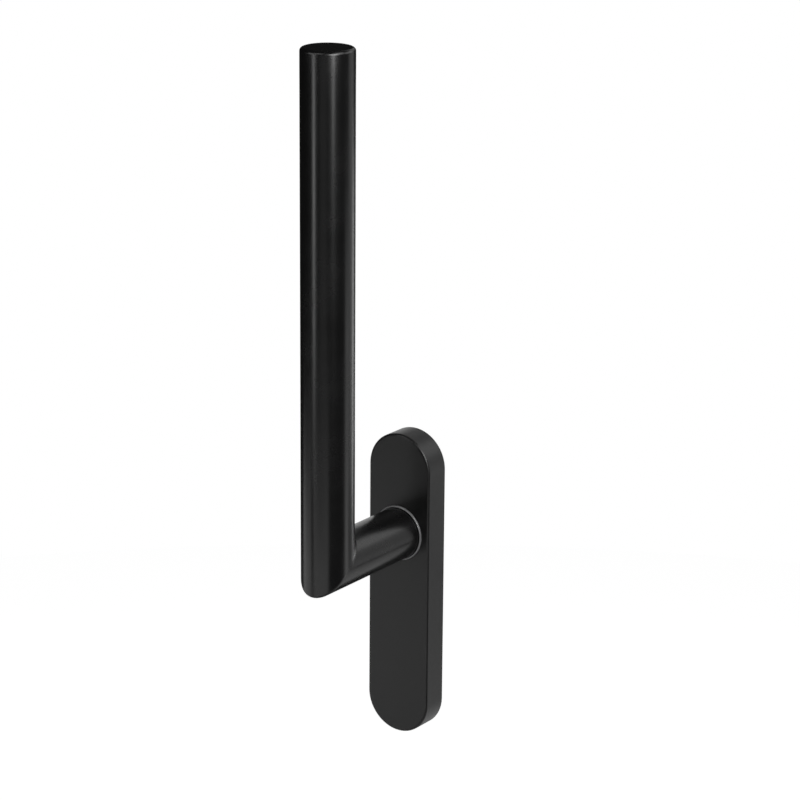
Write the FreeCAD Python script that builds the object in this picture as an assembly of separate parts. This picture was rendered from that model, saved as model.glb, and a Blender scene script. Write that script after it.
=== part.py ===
"""Lift-and-slide patio door handle: an upright tube lever on a long rounded plate.

Millimetres. The origin is on the spindle's axis at the door's face, +Z is up, and the room is at -Y.
The lever turns about Y. Every level along Y below is measured from the door's face.
"""

import FreeCAD
import Part

import math
import os

Vector = FreeCAD.Vector

# Cover: the long plate with round ends
COVER_BORDER = 4.4
COVER_ABOVE = 53.5
COVER_BELOW = 111.5
COVER_DEPTH = 14.0
COVER_FRONT_WALL = 1.6
COVER_SIDE_WALL = 1.5
COVER_EDGE_RADIUS = 1.2

# Lever: two lengths of one tube, joined at a mitre
TUBE_DIAMETER = 27.0
TUBE_WALL = 2.0
GRIP_ABOVE = 262.0
GRIP_STANDOFF = 74.0
RIM_RADIUS = 1.8

# Plug that closes the top of the grip
CAP_DEPTH = 9.0
CAP_WALL = 2.4

# Ring that guides the cover on the neck
RING_GAP = 0.1
RING_WALL = 1.0
RING_PROUD = 0.9
RING_EDGE_CHAMFER = 0.4
RING_FLANGE_WIDTH = 1.6
RING_FLANGE_THICKNESS = 1.0

# Hub in the neck, with the journal that turns in the base and the socket for the square spindle
SPINDLE_SQUARE = 10.0
SOCKET_GAP = 0.1
SOCKET_DEPTH = 30.0
JOURNAL_SHOULDER = 1.5
JOURNAL_SUNK = 0.8
JOURNAL_CHAMFER = 0.5
HUB_LENGTH = 29.0
PRESS_GAP = 0.02

# Set screw that clamps the spindle
SCREW_DIAMETER = 6.0
SCREW_GAP = 0.05
SCREW_HOLE_GAP = 0.15
SCREW_FROM_TUBE_END = 14.0
SCREW_SUNK = 1.0
SCREW_KEY = 3.0
SCREW_KEY_DEPTH = 2.6
SCREW_POINT_CHAMFER = 0.7
SCREW_TO_SPINDLE = 0.3

# Base: the casting that is bolted to the door
BASE_DEPTH = 10.4
BASE_GAP = 0.3
BASE_SKIN = 2.4
BASE_EDGE_CHAMFER = 0.8
RECESS_DEPTH = 5.4
RECESS_WALL = 2.0
RIB_THICKNESS = 2.2
POCKET_PITCH = 20.0
POCKET_CORNER = 2.0

# Fixing holes, each in a round boss that backs up the cover
FIXING_SPACING = 80.0
FIXING_HOLE = 6.5
FIXING_WALL = 4.4
HEAD_DIAMETER = 11.5
BOSS_WALL = 2.0
BOSS_GAP = 0.3

# Bearing bush, washers and retaining ring
RUNNING_GAP = 0.05
THRUST_GAP = 0.05
BUSH_WALL = 1.5
BUSH_FLANGE_THICKNESS = 0.8
BUSH_FLANGE_INSET = 0.3
WASHER_THICKNESS = 1.0
WASHER_WIDTH = 4.2
WASHER_GAP = 0.2
WASHER_EDGE_GAP = 0.6
WAVE_THICKNESS = 0.4
WAVE_HEIGHT = 0.5
WAVE_INSET = 0.8
WAVE_COUNT = 3
WAVE_GAP = 0.3
CLIP_RING_THICKNESS = 1.2
CLIP_RING_GAP = 0.05
CLIP_RING_GROOVE = 0.5
CLIP_RING_MIDDLE = 2.6
CLIP_RING_ENDS = 1.6
CLIP_RING_EAR_RADIUS = 1.5
CLIP_RING_EAR_LAP = 0.3
CLIP_RING_EYE_RADIUS = 0.6
CLIP_RING_OPENING = 7.0

# Leaf springs that grip the cover from inside
SPRING_THICKNESS = 0.5
SPRING_LENGTH = 7.4
SPRING_NOTCH_DEPTH = 3.5
SPRING_NOTCH_GAP = 0.3
SPRING_END_GAP = 1.6
SPRING_CREST_GAP = 0.15
SPRING_BOW = 0.9
SPRING_FROM_SHOULDER = 10.0

# Worked out from the sizes above
TUBE_RADIUS = TUBE_DIAMETER / 2
BORE_RADIUS = TUBE_RADIUS - TUBE_WALL
JOURNAL_RADIUS = BORE_RADIUS - JOURNAL_SHOULDER
GROOVE_RADIUS = JOURNAL_RADIUS - CLIP_RING_GROOVE
BASE_FRONT = -BASE_DEPTH
BUSH_FRONT = BASE_FRONT - BUSH_FLANGE_THICKNESS
BUSH_BORE_RADIUS = JOURNAL_RADIUS + RUNNING_GAP
BUSH_SLEEVE_RADIUS = BUSH_BORE_RADIUS + BUSH_WALL
TUBE_END = BUSH_FRONT - THRUST_GAP
RING_BORE_RADIUS = TUBE_RADIUS + RING_GAP
RING_RADIUS = RING_BORE_RADIUS + RING_WALL
COVER_HALF_WIDTH = RING_RADIUS + COVER_BORDER
COVER_FRONT = -COVER_DEPTH
COVER_INSIDE = COVER_FRONT + COVER_FRONT_WALL
SOCKET_SIDE = SPINDLE_SQUARE + 2 * SOCKET_GAP
SCREW_AXIS_Y = TUBE_END - SCREW_FROM_TUBE_END
BASE_INSET = COVER_SIDE_WALL + BASE_GAP
BASE_HALF_WIDTH = COVER_HALF_WIDTH - BASE_INSET
BOSS_RADIUS = HEAD_DIAMETER / 2 + BOSS_WALL
BOSS_FRONT = COVER_INSIDE + BOSS_GAP
NOTCH_FLOOR = BASE_HALF_WIDTH - SPRING_NOTCH_DEPTH
RECESS_FLOOR = -RECESS_DEPTH
WASHER_BORE_RADIUS = JOURNAL_RADIUS + WASHER_GAP
WASHER_RADIUS = WASHER_BORE_RADIUS + WASHER_WIDTH
WASHER_BACK = RECESS_FLOOR + WASHER_THICKNESS
RECESS_RADIUS = WASHER_RADIUS + WASHER_EDGE_GAP
WAVE_MIDDLE = WASHER_BACK + WAVE_GAP + (WAVE_THICKNESS + WAVE_HEIGHT) / 2
CLIP_RING_FRONT = WAVE_MIDDLE + (WAVE_THICKNESS + WAVE_HEIGHT) / 2 + WAVE_GAP
CLIP_RING_BACK = CLIP_RING_FRONT + CLIP_RING_THICKNESS
SPRING_UPPER = COVER_ABOVE - COVER_HALF_WIDTH - SPRING_FROM_SHOULDER
SPRING_LOWER = COVER_HALF_WIDTH - COVER_BELOW + SPRING_FROM_SHOULDER


def turned(profile, axis_point=Vector(0, 0, 0), axis=Vector(0, 1, 0)):
    """Solid of revolution. The profile's points are (radius, distance along the axis)."""
    if axis.z:
        points = [axis_point + Vector(radius, 0, along) for radius, along in profile]
    else:
        points = [axis_point + Vector(radius, along, 0) for radius, along in profile]
    face = Part.Face(Part.makePolygon(points + points[:1]))
    return face.revolve(axis_point, axis, 360)


def rounded_plate(half_width, above, below, front, back):
    """Plate with round ends, from the level front to the level back."""
    top = above - half_width
    bottom = half_width - below
    corners = [
        Vector(half_width, front, bottom),
        Vector(half_width, front, top),
        Vector(-half_width, front, top),
        Vector(-half_width, front, bottom),
    ]
    outline = Part.Wire(
        [
            Part.makeLine(corners[0], corners[1]),
            Part.Arc(corners[1], Vector(0, front, above), corners[2]).toShape(),
            Part.makeLine(corners[2], corners[3]),
            Part.Arc(corners[3], Vector(0, front, -below), corners[0]).toShape(),
        ]
    )
    return Part.Face(outline).extrude(Vector(0, back - front, 0))


def edges_at(shape, level):
    """Edges that lie in the plane y = level."""
    near = 1e-6
    return [
        edge
        for edge in shape.Edges
        if abs(edge.BoundBox.YMin - level) < near and abs(edge.BoundBox.YMax - level) < near
    ]


def cylinder_y(radius, front, back, x=0.0, z=0.0):
    return Part.makeCylinder(radius, back - front, Vector(x, front, z), Vector(0, 1, 0))


def mitred_bar(radius, top, end):
    """Round bar that comes down the grip's axis, turns at a mitre and runs along the spindle's axis."""
    reach = 2 * radius
    overrun = 1.5 * radius
    side = Vector(2 * reach, 0, 0)

    def half(points):
        start = Vector(-reach, 0, 0)
        corners = [start + Vector(0, y, z) for y, z in points]
        return Part.Face(Part.makePolygon(corners + corners[:1])).extrude(side)

    outer = (-GRIP_STANDOFF - reach, -reach)
    inner = (-GRIP_STANDOFF + reach, reach)
    upper = half([outer, inner, (inner[0], top + 1), (outer[0], top + 1)])
    lower = half([outer, inner, (end + 1, inner[1]), (end + 1, outer[1])])
    grip = Part.makeCylinder(radius, top + overrun, Vector(0, -GRIP_STANDOFF, -overrun))
    neck = cylinder_y(radius, -GRIP_STANDOFF - overrun, end)
    return grip.common(upper).fuse(neck.common(lower))


def lever():
    outside = mitred_bar(TUBE_RADIUS, GRIP_ABOVE, TUBE_END)
    near = 1e-6
    rim = [edge for edge in outside.Edges if edge.BoundBox.ZMin > GRIP_ABOVE - near]
    outside = outside.makeFillet(min(RIM_RADIUS, 0.9 * TUBE_WALL), rim)
    inside = mitred_bar(BORE_RADIUS, GRIP_ABOVE + 1, TUBE_END + 1)
    screw_hole = Part.makeCylinder(
        SCREW_DIAMETER / 2 + SCREW_HOLE_GAP,
        TUBE_RADIUS,
        Vector(0, SCREW_AXIS_Y, 0),
        Vector(0, 0, -1),
    )
    return outside.cut(inside).cut(screw_hole)


def grip_end_cap():
    radius = BORE_RADIUS - PRESS_GAP
    top = GRIP_ABOVE
    bottom = top - CAP_DEPTH
    inner = radius - CAP_WALL
    profile = [
        (0, top),
        (radius, top),
        (radius, bottom),
        (inner, bottom),
        (inner, top - CAP_WALL),
        (0, top - CAP_WALL),
    ]
    return turned(profile, Vector(0, -GRIP_STANDOFF, 0), Vector(0, 0, 1))


def neck_hub():
    body = BORE_RADIUS - PRESS_GAP
    front = TUBE_END - HUB_LENGTH
    back = -JOURNAL_SUNK
    groove_front = CLIP_RING_FRONT - CLIP_RING_GAP
    groove_back = CLIP_RING_BACK + CLIP_RING_GAP
    hub = turned(
        [
            (0, front),
            (body, front),
            (body, TUBE_END),
            (JOURNAL_RADIUS, TUBE_END),
            (JOURNAL_RADIUS, groove_front),
            (GROOVE_RADIUS, groove_front),
            (GROOVE_RADIUS, groove_back),
            (JOURNAL_RADIUS, groove_back),
            (JOURNAL_RADIUS, back - JOURNAL_CHAMFER),
            (JOURNAL_RADIUS - JOURNAL_CHAMFER, back),
            (0, back),
        ]
    )
    socket = Part.makeBox(
        SOCKET_SIDE,
        SOCKET_DEPTH + 1,
        SOCKET_SIDE,
        Vector(-SOCKET_SIDE / 2, back - SOCKET_DEPTH, -SOCKET_SIDE / 2),
    )
    thread = Part.makeCylinder(
        SCREW_DIAMETER / 2 + SCREW_GAP, TUBE_RADIUS, Vector(0, SCREW_AXIS_Y, 0), Vector(0, 0, -1)
    )
    return hub.cut(socket).cut(thread)


def spindle_screw():
    radius = SCREW_DIAMETER / 2
    point = -(SPINDLE_SQUARE / 2 + SCREW_TO_SPINDLE)
    head = -(TUBE_RADIUS - SCREW_SUNK)
    axis_point = Vector(0, SCREW_AXIS_Y, 0)
    screw = turned(
        [
            (0, point),
            (radius - SCREW_POINT_CHAMFER, point),
            (radius, point - SCREW_POINT_CHAMFER),
            (radius, head + SCREW_POINT_CHAMFER / 2),
            (radius - SCREW_POINT_CHAMFER / 2, head),
            (0, head),
        ],
        axis_point,
        Vector(0, 0, 1),
    )
    corner_radius = SCREW_KEY / math.sqrt(3)
    corners = []
    for index in range(6):
        angle = math.radians(60 * index)
        corners.append(
            axis_point + Vector(corner_radius * math.cos(angle), corner_radius * math.sin(angle), head)
        )
    key = Part.Face(Part.makePolygon(corners + corners[:1])).extrude(Vector(0, 0, SCREW_KEY_DEPTH))
    return screw.cut(key)


def cover():
    plate = rounded_plate(COVER_HALF_WIDTH, COVER_ABOVE, COVER_BELOW, COVER_FRONT, 0)
    plate = plate.makeFillet(COVER_EDGE_RADIUS, edges_at(plate, COVER_FRONT))
    inset = COVER_SIDE_WALL
    hollow = rounded_plate(
        COVER_HALF_WIDTH - inset, COVER_ABOVE - inset, COVER_BELOW - inset, COVER_INSIDE, 1
    )
    neck_hole = cylinder_y(RING_RADIUS + PRESS_GAP, COVER_FRONT - 1, COVER_INSIDE + 1)
    return plate.cut(hollow).cut(neck_hole)


def neck_ring():
    """Guide ring of the neck: a collar with bevelled edges, held from behind by its flange."""
    front = COVER_FRONT - RING_PROUD
    back = COVER_INSIDE + RING_FLANGE_THICKNESS
    flange = RING_RADIUS + RING_FLANGE_WIDTH
    edge = min(RING_EDGE_CHAMFER, 0.45 * RING_WALL)
    return turned(
        [
            (RING_BORE_RADIUS, front + edge),
            (RING_BORE_RADIUS + edge, front),
            (RING_RADIUS - edge, front),
            (RING_RADIUS, front + edge),
            (RING_RADIUS, COVER_INSIDE),
            (flange, COVER_INSIDE),
            (flange, back),
            (RING_BORE_RADIUS, back),
        ]
    )


def pocket_spans():
    """Heights between which the back of the base is hollowed out, from the lowest to the highest."""
    fixing = FIXING_SPACING / 2
    hub = RECESS_RADIUS + RECESS_WALL
    end = BASE_INSET + BASE_HALF_WIDTH / 2
    open_spans = [
        (-COVER_BELOW + end, -fixing - BOSS_RADIUS),
        (-fixing + BOSS_RADIUS, -hub),
        (hub, fixing - BOSS_RADIUS),
        (fixing + BOSS_RADIUS, COVER_ABOVE - end),
    ]
    spans = []
    for low, high in open_spans:
        length = high - low
        if length < 2.5 * POCKET_CORNER:
            continue
        count = max(1, round(length / POCKET_PITCH))
        pocket = (length - (count - 1) * RIB_THICKNESS) / count
        for index in range(count):
            start = low + index * (pocket + RIB_THICKNESS)
            spans.append((start, start + pocket))
    return spans


def pocket(low, high):
    half_width = NOTCH_FLOOR - RIB_THICKNESS
    depth = BASE_DEPTH - BASE_SKIN
    block = Part.makeBox(2 * half_width, depth + 1, high - low, Vector(-half_width, -depth, low))
    upright = [edge for edge in block.Edges if edge.BoundBox.YLength > depth]
    return block.makeFillet(POCKET_CORNER, upright)


def base_plate():
    base = rounded_plate(
        BASE_HALF_WIDTH, COVER_ABOVE - BASE_INSET, COVER_BELOW - BASE_INSET, BASE_FRONT, 0
    )
    base = base.makeChamfer(BASE_EDGE_CHAMFER, edges_at(base, BASE_FRONT))
    bush_bore = cylinder_y(BUSH_SLEEVE_RADIUS + PRESS_GAP, BASE_FRONT - 1, 0)
    recess = cylinder_y(RECESS_RADIUS, RECESS_FLOOR, 1)
    base = base.cut(bush_bore).cut(recess)
    for low, high in pocket_spans():
        base = base.cut(pocket(low, high))
    for height in (SPRING_LOWER, SPRING_UPPER):
        for side in (-1, 1):
            base = base.cut(spring_notch(side, height))
    for height in (-FIXING_SPACING / 2, FIXING_SPACING / 2):
        boss = cylinder_y(BOSS_RADIUS, BOSS_FRONT, BASE_FRONT + BASE_SKIN, 0, height)
        head = cylinder_y(HEAD_DIAMETER / 2, BOSS_FRONT - 1, -FIXING_WALL, 0, height)
        hole = cylinder_y(FIXING_HOLE / 2, BOSS_FRONT - 1, 1, 0, height)
        base = base.fuse(boss).cut(head).cut(hole)
    return base


def bearing_bush():
    flange = TUBE_RADIUS - BUSH_FLANGE_INSET
    return turned(
        [
            (BUSH_BORE_RADIUS, BUSH_FRONT),
            (flange, BUSH_FRONT),
            (flange, BASE_FRONT),
            (BUSH_SLEEVE_RADIUS, BASE_FRONT),
            (BUSH_SLEEVE_RADIUS, RECESS_FLOOR),
            (BUSH_BORE_RADIUS, RECESS_FLOOR),
        ]
    )


def thrust_washer():
    return turned(
        [
            (WASHER_BORE_RADIUS, RECESS_FLOOR),
            (WASHER_RADIUS, RECESS_FLOOR),
            (WASHER_RADIUS, WASHER_BACK),
            (WASHER_BORE_RADIUS, WASHER_BACK),
        ]
    )


def wave_washer():
    """Spring washer whose ring rises and falls along the axis as it goes round."""
    samples = 4 * WAVE_COUNT

    def ripple(radius, level):
        points = []
        for index in range(samples):
            angle = 2 * math.pi * index / samples
            rise = WAVE_HEIGHT / 2 * math.cos(WAVE_COUNT * angle)
            points.append(Vector(radius * math.cos(angle), level + rise, radius * math.sin(angle)))
        curve = Part.BSplineCurve()
        curve.interpolate(points, PeriodicFlag=True)
        return curve.toShape()

    inner = WASHER_BORE_RADIUS
    outer = WASHER_RADIUS - WAVE_INSET
    front = WAVE_MIDDLE - WAVE_THICKNESS / 2
    back = WAVE_MIDDLE + WAVE_THICKNESS / 2
    edges = [ripple(inner, front), ripple(outer, front), ripple(outer, back), ripple(inner, back)]
    faces = []
    for index in range(4):
        faces.append(Part.makeRuledSurface(edges[index], edges[(index + 1) % 4]))
    shell = Part.makeShell(faces)
    shell.sewShape()
    solid = Part.makeSolid(shell)
    if solid.Volume < 0:
        solid.reverse()
    return solid


def retaining_ring():
    """Open ring with an ear and an eye at each end, sprung into the journal's groove."""
    inner = GROOVE_RADIUS + CLIP_RING_GAP
    outer = inner + (CLIP_RING_MIDDLE + CLIP_RING_ENDS) / 2
    shift = (CLIP_RING_MIDDLE - CLIP_RING_ENDS) / 2
    before = CLIP_RING_FRONT - 1
    behind = CLIP_RING_BACK + 1
    ring = cylinder_y(outer, CLIP_RING_FRONT, CLIP_RING_BACK, 0, shift)
    ear_reach = CLIP_RING_EAR_RADIUS - CLIP_RING_EAR_LAP
    ear_x = CLIP_RING_OPENING / 2 + ear_reach
    ear_z = -math.sqrt((inner + ear_reach) ** 2 - ear_x**2)
    for side in (-1, 1):
        ear = cylinder_y(
            CLIP_RING_EAR_RADIUS, CLIP_RING_FRONT, CLIP_RING_BACK, side * ear_x, ear_z
        )
        ring = ring.fuse(ear)
    opening = Part.makeBox(
        CLIP_RING_OPENING,
        behind - before,
        2 * outer,
        Vector(-CLIP_RING_OPENING / 2, before, -2 * outer),
    )
    ring = ring.cut(cylinder_y(inner, before, behind)).cut(opening)
    for side in (-1, 1):
        ring = ring.cut(cylinder_y(CLIP_RING_EYE_RADIUS, before, behind, side * ear_x, ear_z))
    return ring


def spring_notch(side, height):
    length = SPRING_LENGTH + 2 * SPRING_NOTCH_GAP
    start = NOTCH_FLOOR if side > 0 else -NOTCH_FLOOR - SPRING_NOTCH_DEPTH - 1
    return Part.makeBox(
        SPRING_NOTCH_DEPTH + 1,
        BASE_DEPTH + 2,
        length,
        Vector(start, BASE_FRONT - 1, height - length / 2),
    )


def cover_spring(side, height):
    """Leaf spring in a notch of the base: a flat leg, a round turn and a bowed leg towards the cover."""
    half = SPRING_THICKNESS / 2
    crest = COVER_HALF_WIDTH - COVER_SIDE_WALL - SPRING_CREST_GAP - half
    leg = NOTCH_FLOOR + half
    outer_leg = crest - SPRING_BOW
    turn = (outer_leg - leg) / 2
    back = -SPRING_END_GAP
    front = BASE_FRONT + SPRING_END_GAP + turn
    low = height - SPRING_LENGTH / 2

    def at(x, y):
        return Vector(side * x, y, low)

    middle = (front + back) / 2

    def arc(start, through, end):
        return Part.Arc(start, through, end).toShape()

    outline = [
        Part.makeLine(at(leg - half, back), at(leg - half, front)),
        arc(at(leg - half, front), at(leg + turn, front - turn - half), at(outer_leg + half, front)),
        arc(at(outer_leg + half, front), at(crest + half, middle), at(outer_leg + half, back)),
        Part.makeLine(at(outer_leg + half, back), at(outer_leg - half, back)),
        arc(at(outer_leg - half, back), at(crest - half, middle), at(outer_leg - half, front)),
        arc(at(outer_leg - half, front), at(leg + turn, front - turn + half), at(leg + half, front)),
        Part.makeLine(at(leg + half, front), at(leg + half, back)),
        Part.makeLine(at(leg + half, back), at(leg - half, back)),
    ]
    return Part.Face(Part.Wire(outline)).extrude(Vector(0, 0, SPRING_LENGTH))


def write(name, shape):
    if shape.ShapeType == "Compound" and len(shape.Solids) == 1:
        shape = shape.Solids[0]
    shape.exportStep(os.path.join("parts", name + ".step"))


def main():
    os.makedirs("parts", exist_ok=True)
    write("lever", lever())
    write("grip_end_cap", grip_end_cap())
    write("neck_hub", neck_hub())
    write("spindle_screw", spindle_screw())
    write("cover", cover())
    write("neck_ring", neck_ring())
    write("base_plate", base_plate())
    write("bearing_bush", bearing_bush())
    write("thrust_washer", thrust_washer())
    write("wave_washer", wave_washer())
    write("retaining_ring", retaining_ring())
    for level, height in (("lower", SPRING_LOWER), ("upper", SPRING_UPPER)):
        for name, side in (("left", -1), ("right", 1)):
            write("cover_spring_" + level + "_" + name, cover_spring(side, height))


main()
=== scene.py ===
"""Looks of the lift-and-slide patio door handle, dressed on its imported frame.

Metres, in the frame's own axes: the origin is on the spindle's axis at the door's face, +Z is up and
the room is at -Y. Azimuth 0 is the room side and 90 is the right, seen from the room.
"""

import math

import bmesh
import bpy
from mathutils import Matrix, Vector


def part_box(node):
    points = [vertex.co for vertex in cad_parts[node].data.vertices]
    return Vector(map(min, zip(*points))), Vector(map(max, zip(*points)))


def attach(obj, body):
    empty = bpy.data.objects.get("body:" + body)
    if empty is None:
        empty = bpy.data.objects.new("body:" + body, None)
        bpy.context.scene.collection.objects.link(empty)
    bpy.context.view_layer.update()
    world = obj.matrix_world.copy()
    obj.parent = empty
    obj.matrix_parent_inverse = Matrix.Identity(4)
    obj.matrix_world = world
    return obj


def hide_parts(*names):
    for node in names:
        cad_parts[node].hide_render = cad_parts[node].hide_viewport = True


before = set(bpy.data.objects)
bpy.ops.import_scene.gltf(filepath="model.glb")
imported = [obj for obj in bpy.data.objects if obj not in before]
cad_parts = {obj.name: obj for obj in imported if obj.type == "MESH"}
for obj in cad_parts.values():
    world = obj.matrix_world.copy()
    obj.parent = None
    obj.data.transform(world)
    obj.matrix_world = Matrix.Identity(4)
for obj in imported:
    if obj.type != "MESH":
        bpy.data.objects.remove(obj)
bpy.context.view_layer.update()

MM = 0.001

# Camera of the photograph
CAMERA_AZIMUTH = 35.73
CAMERA_ELEVATION = 19.97
CAMERA_DISTANCE = 1465 * MM
CAMERA_AIM = Vector((-18.81, 12.21, 61.80)) * MM
CAMERA_ROLL = 0.455
CAMERA_LENS = 126.26
CAMERA_SENSOR = 36.0
CAMERA_NEAR = 0.05
CAMERA_FAR = 50.0

# Floor, far under the handle, which hangs on a door
FLOOR_LEVEL = -0.9
FLOOR_RADIUS = 2.4
FLOOR_SEGMENTS = 128
FLOOR_COLOUR = 0.82
FLOOR_ROUGHNESS = 0.9
FLOOR_GLOW = 0.95

# Lever: the bore stands clear of the cap and the hub, and its wall runs on past both
RIM_RADIUS = 1.8 * MM
MITRE_RADIUS_OUTSIDE = 1.2 * MM
MITRE_RADIUS_INSIDE = 2.4 * MM
BORE_GAP = 0.02 * MM
BORE_OVERRUN = 4 * MM
ROUND_SEGMENTS = 128
RIM_STEPS = 8
GRIP_STEPS = 24
MITRE_STEPS = 12
NECK_STEPS = 6

# Hole for the set screw, in the underside of the neck
SCREW_HOLE_RADIUS = 3.15 * MM
SCREW_PATCH_SIDE = 3.6 * MM
SCREW_PATCH_COLUMNS = 6
SCREW_PATCH_ROWS = 4

# Cover and ring
COVER_EDGE_RADIUS = 1.2 * MM
COVER_FRONT_WALL = 1.6 * MM
COVER_SIDE_WALL = 1.5 * MM
HOLE_EDGE = 0.15 * MM
SUPPORT_STRIP = 0.05 * MM
EDGE_STEPS = 10
PLATE_ARC_STEPS = 48
PLATE_SIDE_STEPS = 24
RING_WALL = 1.0 * MM
RING_FLANGE_WIDTH = 1.6 * MM
LIP_STEPS = 12

# Surfaces: edges turned by more than SHARP_ANGLE stay sharp
SHARP_ANGLE = math.radians(35.0)
WHITE = (1.0, 1.0, 1.0, 1.0)
COOL_TINT = 1.02
COAT_DARK, COAT_LIGHT = 0.003, 0.0045
RING_GLAZE = 1.0
RING_GLAZE_ROUGHNESS = 0.3

# Range of a noise in which most of its values lie
NOISE_LOW, NOISE_HIGH = 0.3, 0.7

# Shares by which a noise is scaled along x, y and z, small along its streaks
STREAKS_ALONG_X = (0.1, 1, 1)
STREAKS_ALONG_Y = (1, 0.1, 1)
STREAKS_ALONG_Z = (1, 1, 0.2)
FLOW_MARKS = (1.0, 1.0, 0.25)

# Soft boxes of the studio: azimuth, elevation, distance, width and height in metres, brightness
SOFT_BOXES = {
    "left_key": (-20, 0, 0.9, 0.13, 0.44, 4.2),
    "right_key": (58, 9, 0.9, 0.16, 0.30, 5.8),
    "front": (18, 0, 0.9, 0.40, 0.50, 0.22),
    "low_left": (-61, -31, 0.9, 0.75, 0.34, 0.93),
    "low_front": (8, -31, 0.9, 1.0, 0.32, 0.95),
    "low_rear": (156, -41, 0.9, 1.2, 0.46, 0.53),
    "low_rear_left": (-112, -54, 0.9, 0.6, 0.4, 1.4),
    "right_rear": (148, -8, 0.9, 0.56, 0.44, 0.58),
    "right_rear_upper": (148, 12, 0.9, 0.56, 0.20, 0.62),
    "right_side": (122, -22, 0.9, 0.28, 0.44, 0.95),
    "right_rim": (168, -14, 0.9, 0.2, 0.3, 2.0),
    "right_edge": (60, 28, 0.9, 0.5, 0.4, 9.0),
    "high_left": (-30, 28, 0.9, 0.40, 0.35, 2.2),
    "high_centre": (-5, 45, 0.9, 0.4, 0.3, 2.0),
    "high_right": (86, 38, 0.9, 0.45, 0.30, 2.5),
    "top_right": (90, 58, 0.9, 0.4, 0.3, 3.0),
    "high_right_rear": (136, 34, 0.9, 0.76, 0.5, 1.4),
    "high_rear": (-176, 36, 0.9, 0.68, 0.42, 0.5),
    "behind": (-144, -3, 0.32, 0.20, 0.25, 0.85),
}
LIGHT_AIM = Vector((0.0, -0.04, 0.07))
STUDIO_FILL = 0.012


def link(obj):
    """Puts an object into the scene, and returns it."""
    bpy.context.scene.collection.objects.link(obj)
    return obj


def direction(azimuth, elevation):
    """Unit vector from the handle towards an azimuth and an elevation in degrees."""
    a, e = math.radians(azimuth), math.radians(elevation)
    return Vector((math.sin(a) * math.cos(e), -math.cos(a) * math.cos(e), math.sin(e)))


def mesh_object(name, bm):
    """Object from a bmesh, shaded smooth apart from its sharp edges."""
    bmesh.ops.recalc_face_normals(bm, faces=bm.faces)
    for face in bm.faces:
        face.smooth = True
    for edge in bm.edges:
        edge.smooth = not edge.is_manifold or edge.calc_face_angle(0.0) < SHARP_ANGLE
    mesh = bpy.data.meshes.new(name)
    bm.to_mesh(mesh)
    bm.free()
    return link(bpy.data.objects.new(name, mesh))


def bridge(bm, rings, closed=False):
    """Quads between rings of equal count, each ring a closed loop of vertices."""
    pairs = list(zip(rings, rings[1:]))
    if closed:
        pairs.append((rings[-1], rings[0]))
    for near, far in pairs:
        count = len(near)
        for i in range(count):
            j = (i + 1) % count
            bm.faces.new((near[i], near[j], far[j], far[i]))


# Materials

def shader(name):
    """A new material, with its nodes and links."""
    material = bpy.data.materials.new(name)
    material.use_nodes = True
    return material, material.node_tree.nodes, material.node_tree.links


def noise(nodes, links, scale, detail, roughness=0.5, stretch=(1.0, 1.0, 1.0)):
    """Noise in the handle's own coordinates. Scale is features per metre."""
    place = nodes.new("ShaderNodeTexCoord")
    mapping = nodes.new("ShaderNodeMapping")
    mapping.inputs["Scale"].default_value = stretch
    texture = nodes.new("ShaderNodeTexNoise")
    texture.inputs["Scale"].default_value = scale
    texture.inputs["Detail"].default_value = detail
    texture.inputs["Roughness"].default_value = roughness
    links.new(place.outputs["Object"], mapping.inputs["Vector"])
    links.new(mapping.outputs["Vector"], texture.inputs["Vector"])
    return texture.outputs["Fac"]


def spread(nodes, links, value, low, high):
    """Maps a noise's middle range to low..high."""
    node = nodes.new("ShaderNodeMapRange")
    node.inputs["From Min"].default_value = NOISE_LOW
    node.inputs["From Max"].default_value = NOISE_HIGH
    node.inputs["To Min"].default_value = low
    node.inputs["To Max"].default_value = high
    links.new(value, node.inputs["Value"])
    return node.outputs["Result"]


def tint(nodes, links, value, dark, light):
    """Colour between dark and light, by a noise."""
    node = nodes.new("ShaderNodeMix")
    node.data_type = "RGBA"
    node.inputs["A"].default_value = (*dark, 1.0)
    node.inputs["B"].default_value = (*light, 1.0)
    links.new(value, node.inputs["Factor"])
    return node.outputs["Result"]


def bump(nodes, links, height, distance, below=None):
    """Relief of a noise, distance metres deep, on top of the relief below it."""
    node = nodes.new("ShaderNodeBump")
    node.inputs["Distance"].default_value = distance
    links.new(height, node.inputs["Height"])
    if below:
        links.new(below, node.inputs["Normal"])
    return node.outputs["Normal"]


def powder_coat(name, dark, light, roughness):
    """Satin powder coat: a fine orange peel under a slightly uneven sheen."""
    material, nodes, links = shader(name)
    surface = nodes["Principled BSDF"]
    cloud = noise(nodes, links, scale=60.0, detail=4.0)
    peel = noise(nodes, links, scale=1100.0, detail=2.0)
    grain = noise(nodes, links, scale=5200.0, detail=1.0)
    links.new(tint(nodes, links, cloud, dark, light), surface.inputs["Base Color"])
    links.new(spread(nodes, links, cloud, *roughness), surface.inputs["Roughness"])
    rolling = bump(nodes, links, peel, distance=0.006 * MM)
    fine = bump(nodes, links, grain, distance=0.0012 * MM, below=rolling)
    links.new(fine, surface.inputs["Normal"])
    return material


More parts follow.
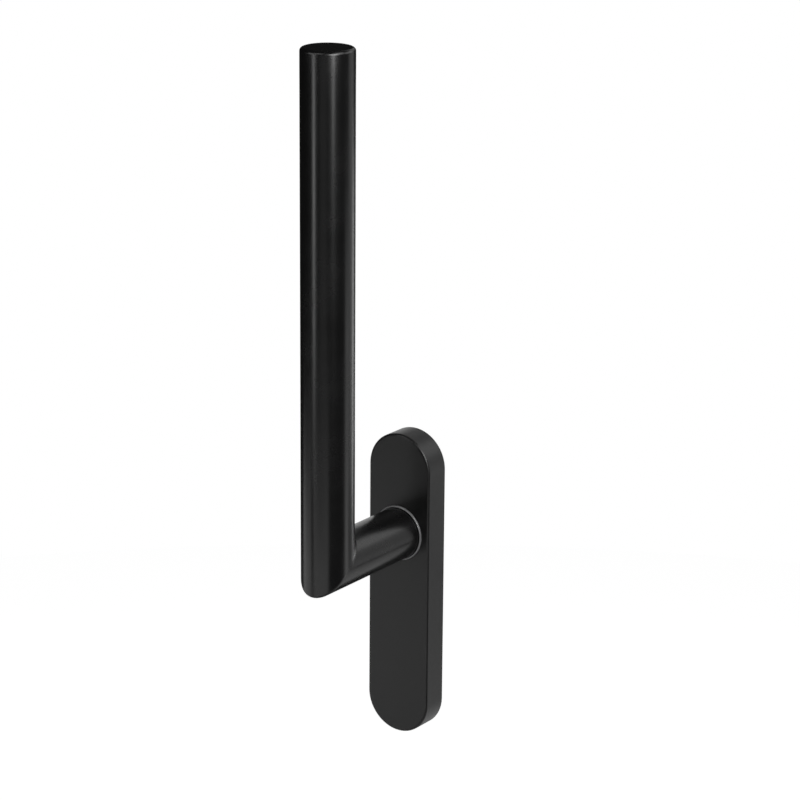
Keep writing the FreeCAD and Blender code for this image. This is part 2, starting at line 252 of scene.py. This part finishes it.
def turned_metal(name, dark, light, roughness, pitch):
    """Metal with the fine rings of turning round the spindle's axis."""
    material, nodes, links = shader(name)
    surface = nodes["Principled BSDF"]
    surface.inputs["Metallic"].default_value = 1.0
    place = nodes.new("ShaderNodeTexCoord")
    rings = nodes.new("ShaderNodeTexWave")
    rings.wave_type = "RINGS"
    rings.rings_direction = "Y"
    rings.inputs["Scale"].default_value = pitch
    rings.inputs["Distortion"].default_value = 0.4
    rings.inputs["Detail"].default_value = 2.0
    links.new(place.outputs["Object"], rings.inputs["Vector"])
    cloud = noise(nodes, links, scale=260.0, detail=3.0)
    links.new(tint(nodes, links, cloud, dark, light), surface.inputs["Base Color"])
    links.new(spread(nodes, links, cloud, *roughness), surface.inputs["Roughness"])
    relief = bump(nodes, links, rings.outputs["Fac"], distance=0.004 * MM)
    links.new(relief, surface.inputs["Normal"])
    return material


def cast_metal(name, dark, light, roughness):
    """Die-cast metal: cloudy, with a fine skin and a few flow marks."""
    material, nodes, links = shader(name)
    surface = nodes["Principled BSDF"]
    surface.inputs["Metallic"].default_value = 1.0
    cloud = noise(nodes, links, scale=120.0, detail=5.0, roughness=0.6)
    flow = noise(nodes, links, scale=200.0, detail=3.0, stretch=FLOW_MARKS)
    skin = noise(nodes, links, scale=2600.0, detail=3.0, roughness=0.6)
    links.new(tint(nodes, links, cloud, dark, light), surface.inputs["Base Color"])
    links.new(spread(nodes, links, flow, *roughness), surface.inputs["Roughness"])
    links.new(bump(nodes, links, skin, distance=0.012 * MM), surface.inputs["Normal"])
    return material


def sheet_metal(name, dark, light, roughness, stretch):
    """Rolled or drawn metal, with streaks along the direction in which stretch is small."""
    material, nodes, links = shader(name)
    surface = nodes["Principled BSDF"]
    surface.inputs["Metallic"].default_value = 1.0
    streak = noise(nodes, links, scale=1600.0, detail=4.0, roughness=0.6, stretch=stretch)
    links.new(tint(nodes, links, streak, dark, light), surface.inputs["Base Color"])
    links.new(spread(nodes, links, streak, *roughness), surface.inputs["Roughness"])
    links.new(bump(nodes, links, streak, distance=0.003 * MM), surface.inputs["Normal"])
    return material


def moulded_plastic(name, dark, light, roughness):
    """Moulded plastic: faintly cloudy, with a fine grain."""
    material, nodes, links = shader(name)
    surface = nodes["Principled BSDF"]
    cloud = noise(nodes, links, scale=90.0, detail=3.0)
    grain = noise(nodes, links, scale=1800.0, detail=2.0)
    links.new(tint(nodes, links, cloud, dark, light), surface.inputs["Base Color"])
    links.new(spread(nodes, links, cloud, *roughness), surface.inputs["Roughness"])
    links.new(bump(nodes, links, grain, distance=0.006 * MM), surface.inputs["Normal"])
    return material


def grey(value):
    """A grey that is slightly cool."""
    return (value, value, value * COOL_TINT)


def dress(node, material):
    """Gives a CAD node its material."""
    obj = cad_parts[node]
    obj.data.materials.clear()
    obj.data.materials.append(material)


# Pieces

def open_round_hole(bm, rows, level, radius):
    """Opens a round hole in the underside of a tube along y, and returns the hole's edge.

    The rows are rings of the tube. The hole takes the place of a patch of their quads.
    """
    under = ROUND_SEGMENTS // 4
    first, last = under - SCREW_PATCH_COLUMNS, under + SCREW_PATCH_COLUMNS
    inside = {vert for row in rows[1:-1] for vert in row[first + 1:last]}
    patch = {vert for row in rows for vert in row[first:last + 1]}
    faces = [face for face in bm.faces if all(vert in patch for vert in face.verts)]
    border = rows[0][first:last + 1]
    border += [row[last] for row in rows[1:-1]]
    border += reversed(rows[-1][first:last + 1])
    border += [row[first] for row in reversed(rows[1:-1])]
    bmesh.ops.delete(bm, geom=faces, context="FACES_ONLY")
    bmesh.ops.delete(bm, geom=list(inside), context="VERTS")
    edge = []
    for vert in border:
        away = Vector((vert.co.x, vert.co.y - level)).normalized() * SCREW_HOLE_RADIUS
        edge.append(bm.verts.new((away.x, level + away.y, -math.sqrt(radius**2 - away.x**2))))
    bridge(bm, [border, edge])
    return edge


def lever_tube(material):
    """The grip and the neck as one tube, with the mitre ground to a soft edge."""
    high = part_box("lever")[1]
    cap_low, cap_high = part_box("grip_end_cap")
    radius = high.x
    standoff = -(cap_low.y + cap_high.y) / 2
    bore = (cap_high.x - cap_low.x) / 2 + BORE_GAP
    bm = bmesh.new()

    def ring(place):
        made = []
        for i in range(ROUND_SEGMENTS):
            angle = 2 * math.pi * i / ROUND_SEGMENTS
            made.append(bm.verts.new(place(math.cos(angle), math.sin(angle))))
        return made

    def grip_ring(r, level):
        return ring(lambda c, s: (r * c, -standoff - r * s, level))

    def neck_ring(r, level):
        return ring(lambda c, s: (r * c, level, -r * s))

    def corner_ring(share):
        """Every line along the tube turns through its own small arc at the mitre."""
        turn = share * math.pi / 2

        def place(c, s):
            inward = (1 - s) / 2
            fillet = MITRE_RADIUS_OUTSIDE + (MITRE_RADIUS_INSIDE - MITRE_RADIUS_OUTSIDE) * inward
            y = -standoff - radius * s + fillet * (1 - math.cos(turn))
            z = -radius * s + fillet * (1 - math.sin(turn))
            return (radius * c, y, z)

        return ring(place)

    # The bore's upper end and the rounded rim
    top = high.z
    rings = [grip_ring(bore, cap_low.z - BORE_OVERRUN), grip_ring(bore, top)]
    for i in range(RIM_STEPS + 1):
        turn = i / RIM_STEPS * math.pi / 2
        shrink = RIM_RADIUS * (1 - math.sin(turn))
        rings.append(grip_ring(radius - shrink, top - RIM_RADIUS * (1 - math.cos(turn))))

    # The grip down to the mitre, and round it
    grip_high = top - RIM_RADIUS
    grip_low = radius + 2 * MITRE_RADIUS_INSIDE
    for i in range(1, GRIP_STEPS + 1):
        rings.append(grip_ring(radius, grip_high - (grip_high - grip_low) * i / GRIP_STEPS))
    for i in range(MITRE_STEPS + 1):
        rings.append(corner_ring(i / MITRE_STEPS))

    # The neck, with the rows round the set screw's hole, and back inside to the hub
    screw_low, screw_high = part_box("spindle_screw")
    screw_level = (screw_low.y + screw_high.y) / 2
    patch = []
    for i in range(SCREW_PATCH_ROWS + 1):
        patch.append(screw_level + SCREW_PATCH_SIDE * (2 * i / SCREW_PATCH_ROWS - 1))
    neck_start = -standoff + grip_low
    for i in range(NECK_STEPS):
        rings.append(neck_ring(radius, neck_start + (patch[0] - neck_start) * i / NECK_STEPS))
    outer_patch = [neck_ring(radius, level) for level in patch]
    inner_patch = [neck_ring(bore, level) for level in patch]
    rings += outer_patch
    rings += [neck_ring(radius, high.y), neck_ring(bore, high.y)]
    rings += reversed(inner_patch)
    rings.append(neck_ring(bore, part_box("neck_hub")[0].y - BORE_OVERRUN))
    bridge(bm, rings)

    # Both ends of the bore are closed, and the hole goes through the wall
    for loop in (rings[0], rings[-1]):
        bm.faces.new(loop)
    outer_hole = open_round_hole(bm, outer_patch, screw_level, radius)
    inner_hole = open_round_hole(bm, inner_patch, screw_level, bore)
    bridge(bm, [outer_hole, inner_hole])
    obj = mesh_object("lever_tube", bm)
    obj.data.materials.append(material)
    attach(obj, "lever")
    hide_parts("lever")


def stadium(half_width, top, bottom, inset=0.0):
    """Points (x, z) of the plate's outline, drawn in by inset, from the right over the top."""
    radius = half_width - inset
    upper, lower = top - half_width, bottom + half_width
    points = []
    for i in range(PLATE_ARC_STEPS + 1):
        turn = math.pi * i / PLATE_ARC_STEPS
        points.append((radius * math.cos(turn), upper + radius * math.sin(turn)))
    for i in range(1, PLATE_SIDE_STEPS):
        points.append((-radius, upper + (lower - upper) * i / PLATE_SIDE_STEPS))
    for i in range(PLATE_ARC_STEPS + 1):
        turn = math.pi * (1 + i / PLATE_ARC_STEPS)
        points.append((radius * math.cos(turn), lower + radius * math.sin(turn)))
    for i in range(1, PLATE_SIDE_STEPS):
        points.append((radius, lower + (upper - lower) * i / PLATE_SIDE_STEPS))
    return points


def cover_shell(material):
    """The cover with a finely rounded edge, hollow behind, with the ring's hole."""
    low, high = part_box("cover")
    half_width, top, bottom = high.x, high.z, low.z
    front, back = low.y, high.y
    inside = front + COVER_FRONT_WALL
    hole = neck_ring_radius()
    bm = bmesh.new()

    def outline(inset, level):
        return [bm.verts.new((x, level, z)) for x, z in stadium(half_width, top, bottom, inset)]

    def circle(radius, level):
        """Ring round the neck, each point on the ray to the outline's point of the same number."""
        made = []
        for x, z in stadium(half_width, top, bottom):
            reach = math.hypot(x, z)
            made.append(bm.verts.new((radius * x / reach, level, radius * z / reach)))
        return made

    rings = [circle(hole, inside), circle(hole, front + HOLE_EDGE)]
    rings.append(circle(hole + HOLE_EDGE, front))
    rings.append(outline(COVER_EDGE_RADIUS + SUPPORT_STRIP, front))
    for i in range(EDGE_STEPS + 1):
        turn = i / EDGE_STEPS * math.pi / 2
        inset = COVER_EDGE_RADIUS * (1 - math.sin(turn))
        rings.append(outline(inset, front + COVER_EDGE_RADIUS * (1 - math.cos(turn))))
    rings.append(outline(0.0, front + COVER_EDGE_RADIUS + SUPPORT_STRIP))
    rings.append(outline(0.0, back))
    rings.append(outline(COVER_SIDE_WALL, back))
    rings.append(outline(COVER_SIDE_WALL, inside))
    bridge(bm, rings, closed=True)
    obj = mesh_object("cover_shell", bm)
    obj.data.materials.append(material)
    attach(obj, "plate")
    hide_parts("cover")


def neck_ring_radius():
    """Outer radius of the ring's collar, which its flange hides in the box."""
    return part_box("neck_ring")[1].x - RING_FLANGE_WIDTH


def lip_ring(material):
    """The ring round the neck, with a full round lip, its collar and the flange behind the cover."""
    low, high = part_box("neck_ring")
    flange = high.x
    outer = neck_ring_radius()
    bore = outer - RING_WALL
    lip = RING_WALL / 2
    front, back = low.y, high.y
    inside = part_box("cover")[0].y + COVER_FRONT_WALL
    profile = []
    for i in range(LIP_STEPS + 1):
        turn = math.pi * i / LIP_STEPS
        profile.append((outer - lip + lip * math.cos(turn), front + lip - lip * math.sin(turn)))
    profile += [(bore, back), (flange, back), (flange, inside), (outer, inside)]
    bm = bmesh.new()
    rings = []
    for radius, level in profile:
        turns = (2 * math.pi * i / ROUND_SEGMENTS for i in range(ROUND_SEGMENTS))
        rings.append([bm.verts.new((radius * math.cos(t), level, radius * math.sin(t))) for t in turns])
    bridge(bm, rings, closed=True)
    obj = mesh_object("lip_ring", bm)
    obj.data.materials.append(material)
    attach(obj, "plate")
    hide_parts("neck_ring")


def dress_nodes():
    """Every material, and every piece that wears it."""
    coat = powder_coat("lever_coat", grey(COAT_DARK), grey(COAT_LIGHT), roughness=(0.235, 0.285))
    plate_coat = powder_coat("plate_coat", grey(COAT_DARK), grey(COAT_LIGHT), roughness=(0.335, 0.385))
    hub = turned_metal("hub_steel", dark=grey(0.5), light=grey(0.6), roughness=(0.24, 0.34), pitch=900.0)
    cast = cast_metal("base_casting", dark=grey(0.42), light=grey(0.56), roughness=(0.42, 0.58))
    spring = sheet_metal("spring_steel", dark=(0.24, 0.25, 0.28), light=(0.34, 0.35, 0.38),
                         roughness=(0.26, 0.36), stretch=STREAKS_ALONG_Y)
    washer = sheet_metal("washer_zinc", dark=(0.5, 0.51, 0.53), light=(0.66, 0.67, 0.68),
                         roughness=(0.28, 0.4), stretch=STREAKS_ALONG_X)
    screw = sheet_metal("screw_oxide", dark=grey(0.03), light=grey(0.05),
                        roughness=(0.35, 0.45), stretch=STREAKS_ALONG_Z)
    # The ring's light grey, far lighter than the black coat, is a painted highlight: it makes the lip
    # show as a bright line all round, and the glaze adds the real highlights on top.
    ring = moulded_plastic("ring_plastic", dark=grey(0.115), light=grey(0.135), roughness=(0.32, 0.38))
    glaze = ring.node_tree.nodes["Principled BSDF"].inputs
    glaze["Coat Weight"].default_value = RING_GLAZE
    glaze["Coat Roughness"].default_value = RING_GLAZE_ROUGHNESS
    bush = moulded_plastic("bush_plastic", dark=(0.72, 0.69, 0.6), light=(0.78, 0.75, 0.66),
                           roughness=(0.4, 0.5))
    dress("grip_end_cap", coat)
    cover_shell(plate_coat)
    lip_ring(ring)
    dress("neck_hub", hub)
    dress("spindle_screw", screw)
    dress("base_plate", cast)
    dress("bearing_bush", bush)
    dress("thrust_washer", washer)
    dress("wave_washer", spring)
    dress("retaining_ring", spring)
    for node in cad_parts:
        if node.startswith("cover_spring"):
            dress(node, spring)
    lever_tube(coat)


# Surroundings

def add_camera():
    """Camera at the photograph's angle and distance."""
    data = bpy.data.cameras.new("camera")
    data.sensor_width = CAMERA_SENSOR
    data.lens = CAMERA_LENS
    data.clip_start = CAMERA_NEAR
    data.clip_end = CAMERA_FAR
    camera = link(bpy.data.objects.new("camera", data))
    camera.location = direction(CAMERA_AZIMUTH, CAMERA_ELEVATION) * CAMERA_DISTANCE
    look = (CAMERA_AIM - camera.location).to_track_quat("-Z", "Y")
    roll = Matrix.Rotation(math.radians(CAMERA_ROLL), 4, "Z")
    camera.matrix_world = Matrix.Translation(camera.location) @ look.to_matrix().to_4x4() @ roll
    bpy.context.scene.camera = camera


def add_floor():
    """Round pale floor that looks white to the camera."""
    bm = bmesh.new()
    bmesh.ops.create_circle(bm, cap_ends=True, segments=FLOOR_SEGMENTS, radius=FLOOR_RADIUS)
    bmesh.ops.translate(bm, verts=bm.verts, vec=(0, 0, FLOOR_LEVEL))
    floor = mesh_object("floor", bm)
    material, nodes, links = shader("floor_white")
    surface = nodes["Principled BSDF"]
    surface.inputs["Base Color"].default_value = (FLOOR_COLOUR, FLOOR_COLOUR, FLOOR_COLOUR, 1.0)
    surface.inputs["Roughness"].default_value = FLOOR_ROUGHNESS
    surface.inputs["Specular IOR Level"].default_value = 0.0
    surface.inputs["Emission Color"].default_value = WHITE
    path = nodes.new("ShaderNodeLightPath")
    glow = nodes.new("ShaderNodeMath")
    glow.operation = "MULTIPLY"
    glow.inputs[1].default_value = FLOOR_GLOW
    links.new(path.outputs["Is Camera Ray"], glow.inputs[0])
    links.new(glow.outputs[0], surface.inputs["Emission Strength"])
    floor.data.materials.append(material)


def add_soft_box(name, azimuth, elevation, distance, width, height, brightness):
    """Lamp that the camera doesn't see, as bright per area as brightness says."""
    data = bpy.data.lights.new(name, "AREA")
    data.shape = "RECTANGLE"
    data.size, data.size_y = width, height
    data.energy = brightness * math.pi * width * height
    lamp = link(bpy.data.objects.new(name, data))
    lamp.location = LIGHT_AIM + direction(azimuth, elevation) * distance
    lamp.rotation_euler = (LIGHT_AIM - lamp.location).to_track_quat("-Z", "Y").to_euler()
    lamp.visible_camera = False


def add_studio():
    """White to the camera, nearly dark to the handle, which the soft boxes light."""
    world = bpy.data.worlds.new("studio")
    bpy.context.scene.world = world
    world.use_nodes = True
    nodes, links = world.node_tree.nodes, world.node_tree.links
    path = nodes.new("ShaderNodeLightPath")
    seen = nodes.new("ShaderNodeMath")
    seen.operation = "MAXIMUM"
    links.new(path.outputs["Is Camera Ray"], seen.inputs[0])
    links.new(path.outputs["Is Transmission Ray"], seen.inputs[1])
    strength = nodes.new("ShaderNodeMix")
    strength.inputs["A"].default_value = STUDIO_FILL
    strength.inputs["B"].default_value = 1.0
    links.new(seen.outputs[0], strength.inputs["Factor"])
    background = nodes["Background"]
    background.inputs["Color"].default_value = WHITE
    links.new(strength.outputs["Result"], background.inputs["Strength"])
    for name, box in SOFT_BOXES.items():
        add_soft_box(name, *box)


add_camera()
dress_nodes()
add_floor()
add_studio()

bpy.context.scene.view_settings.view_transform = "Standard"
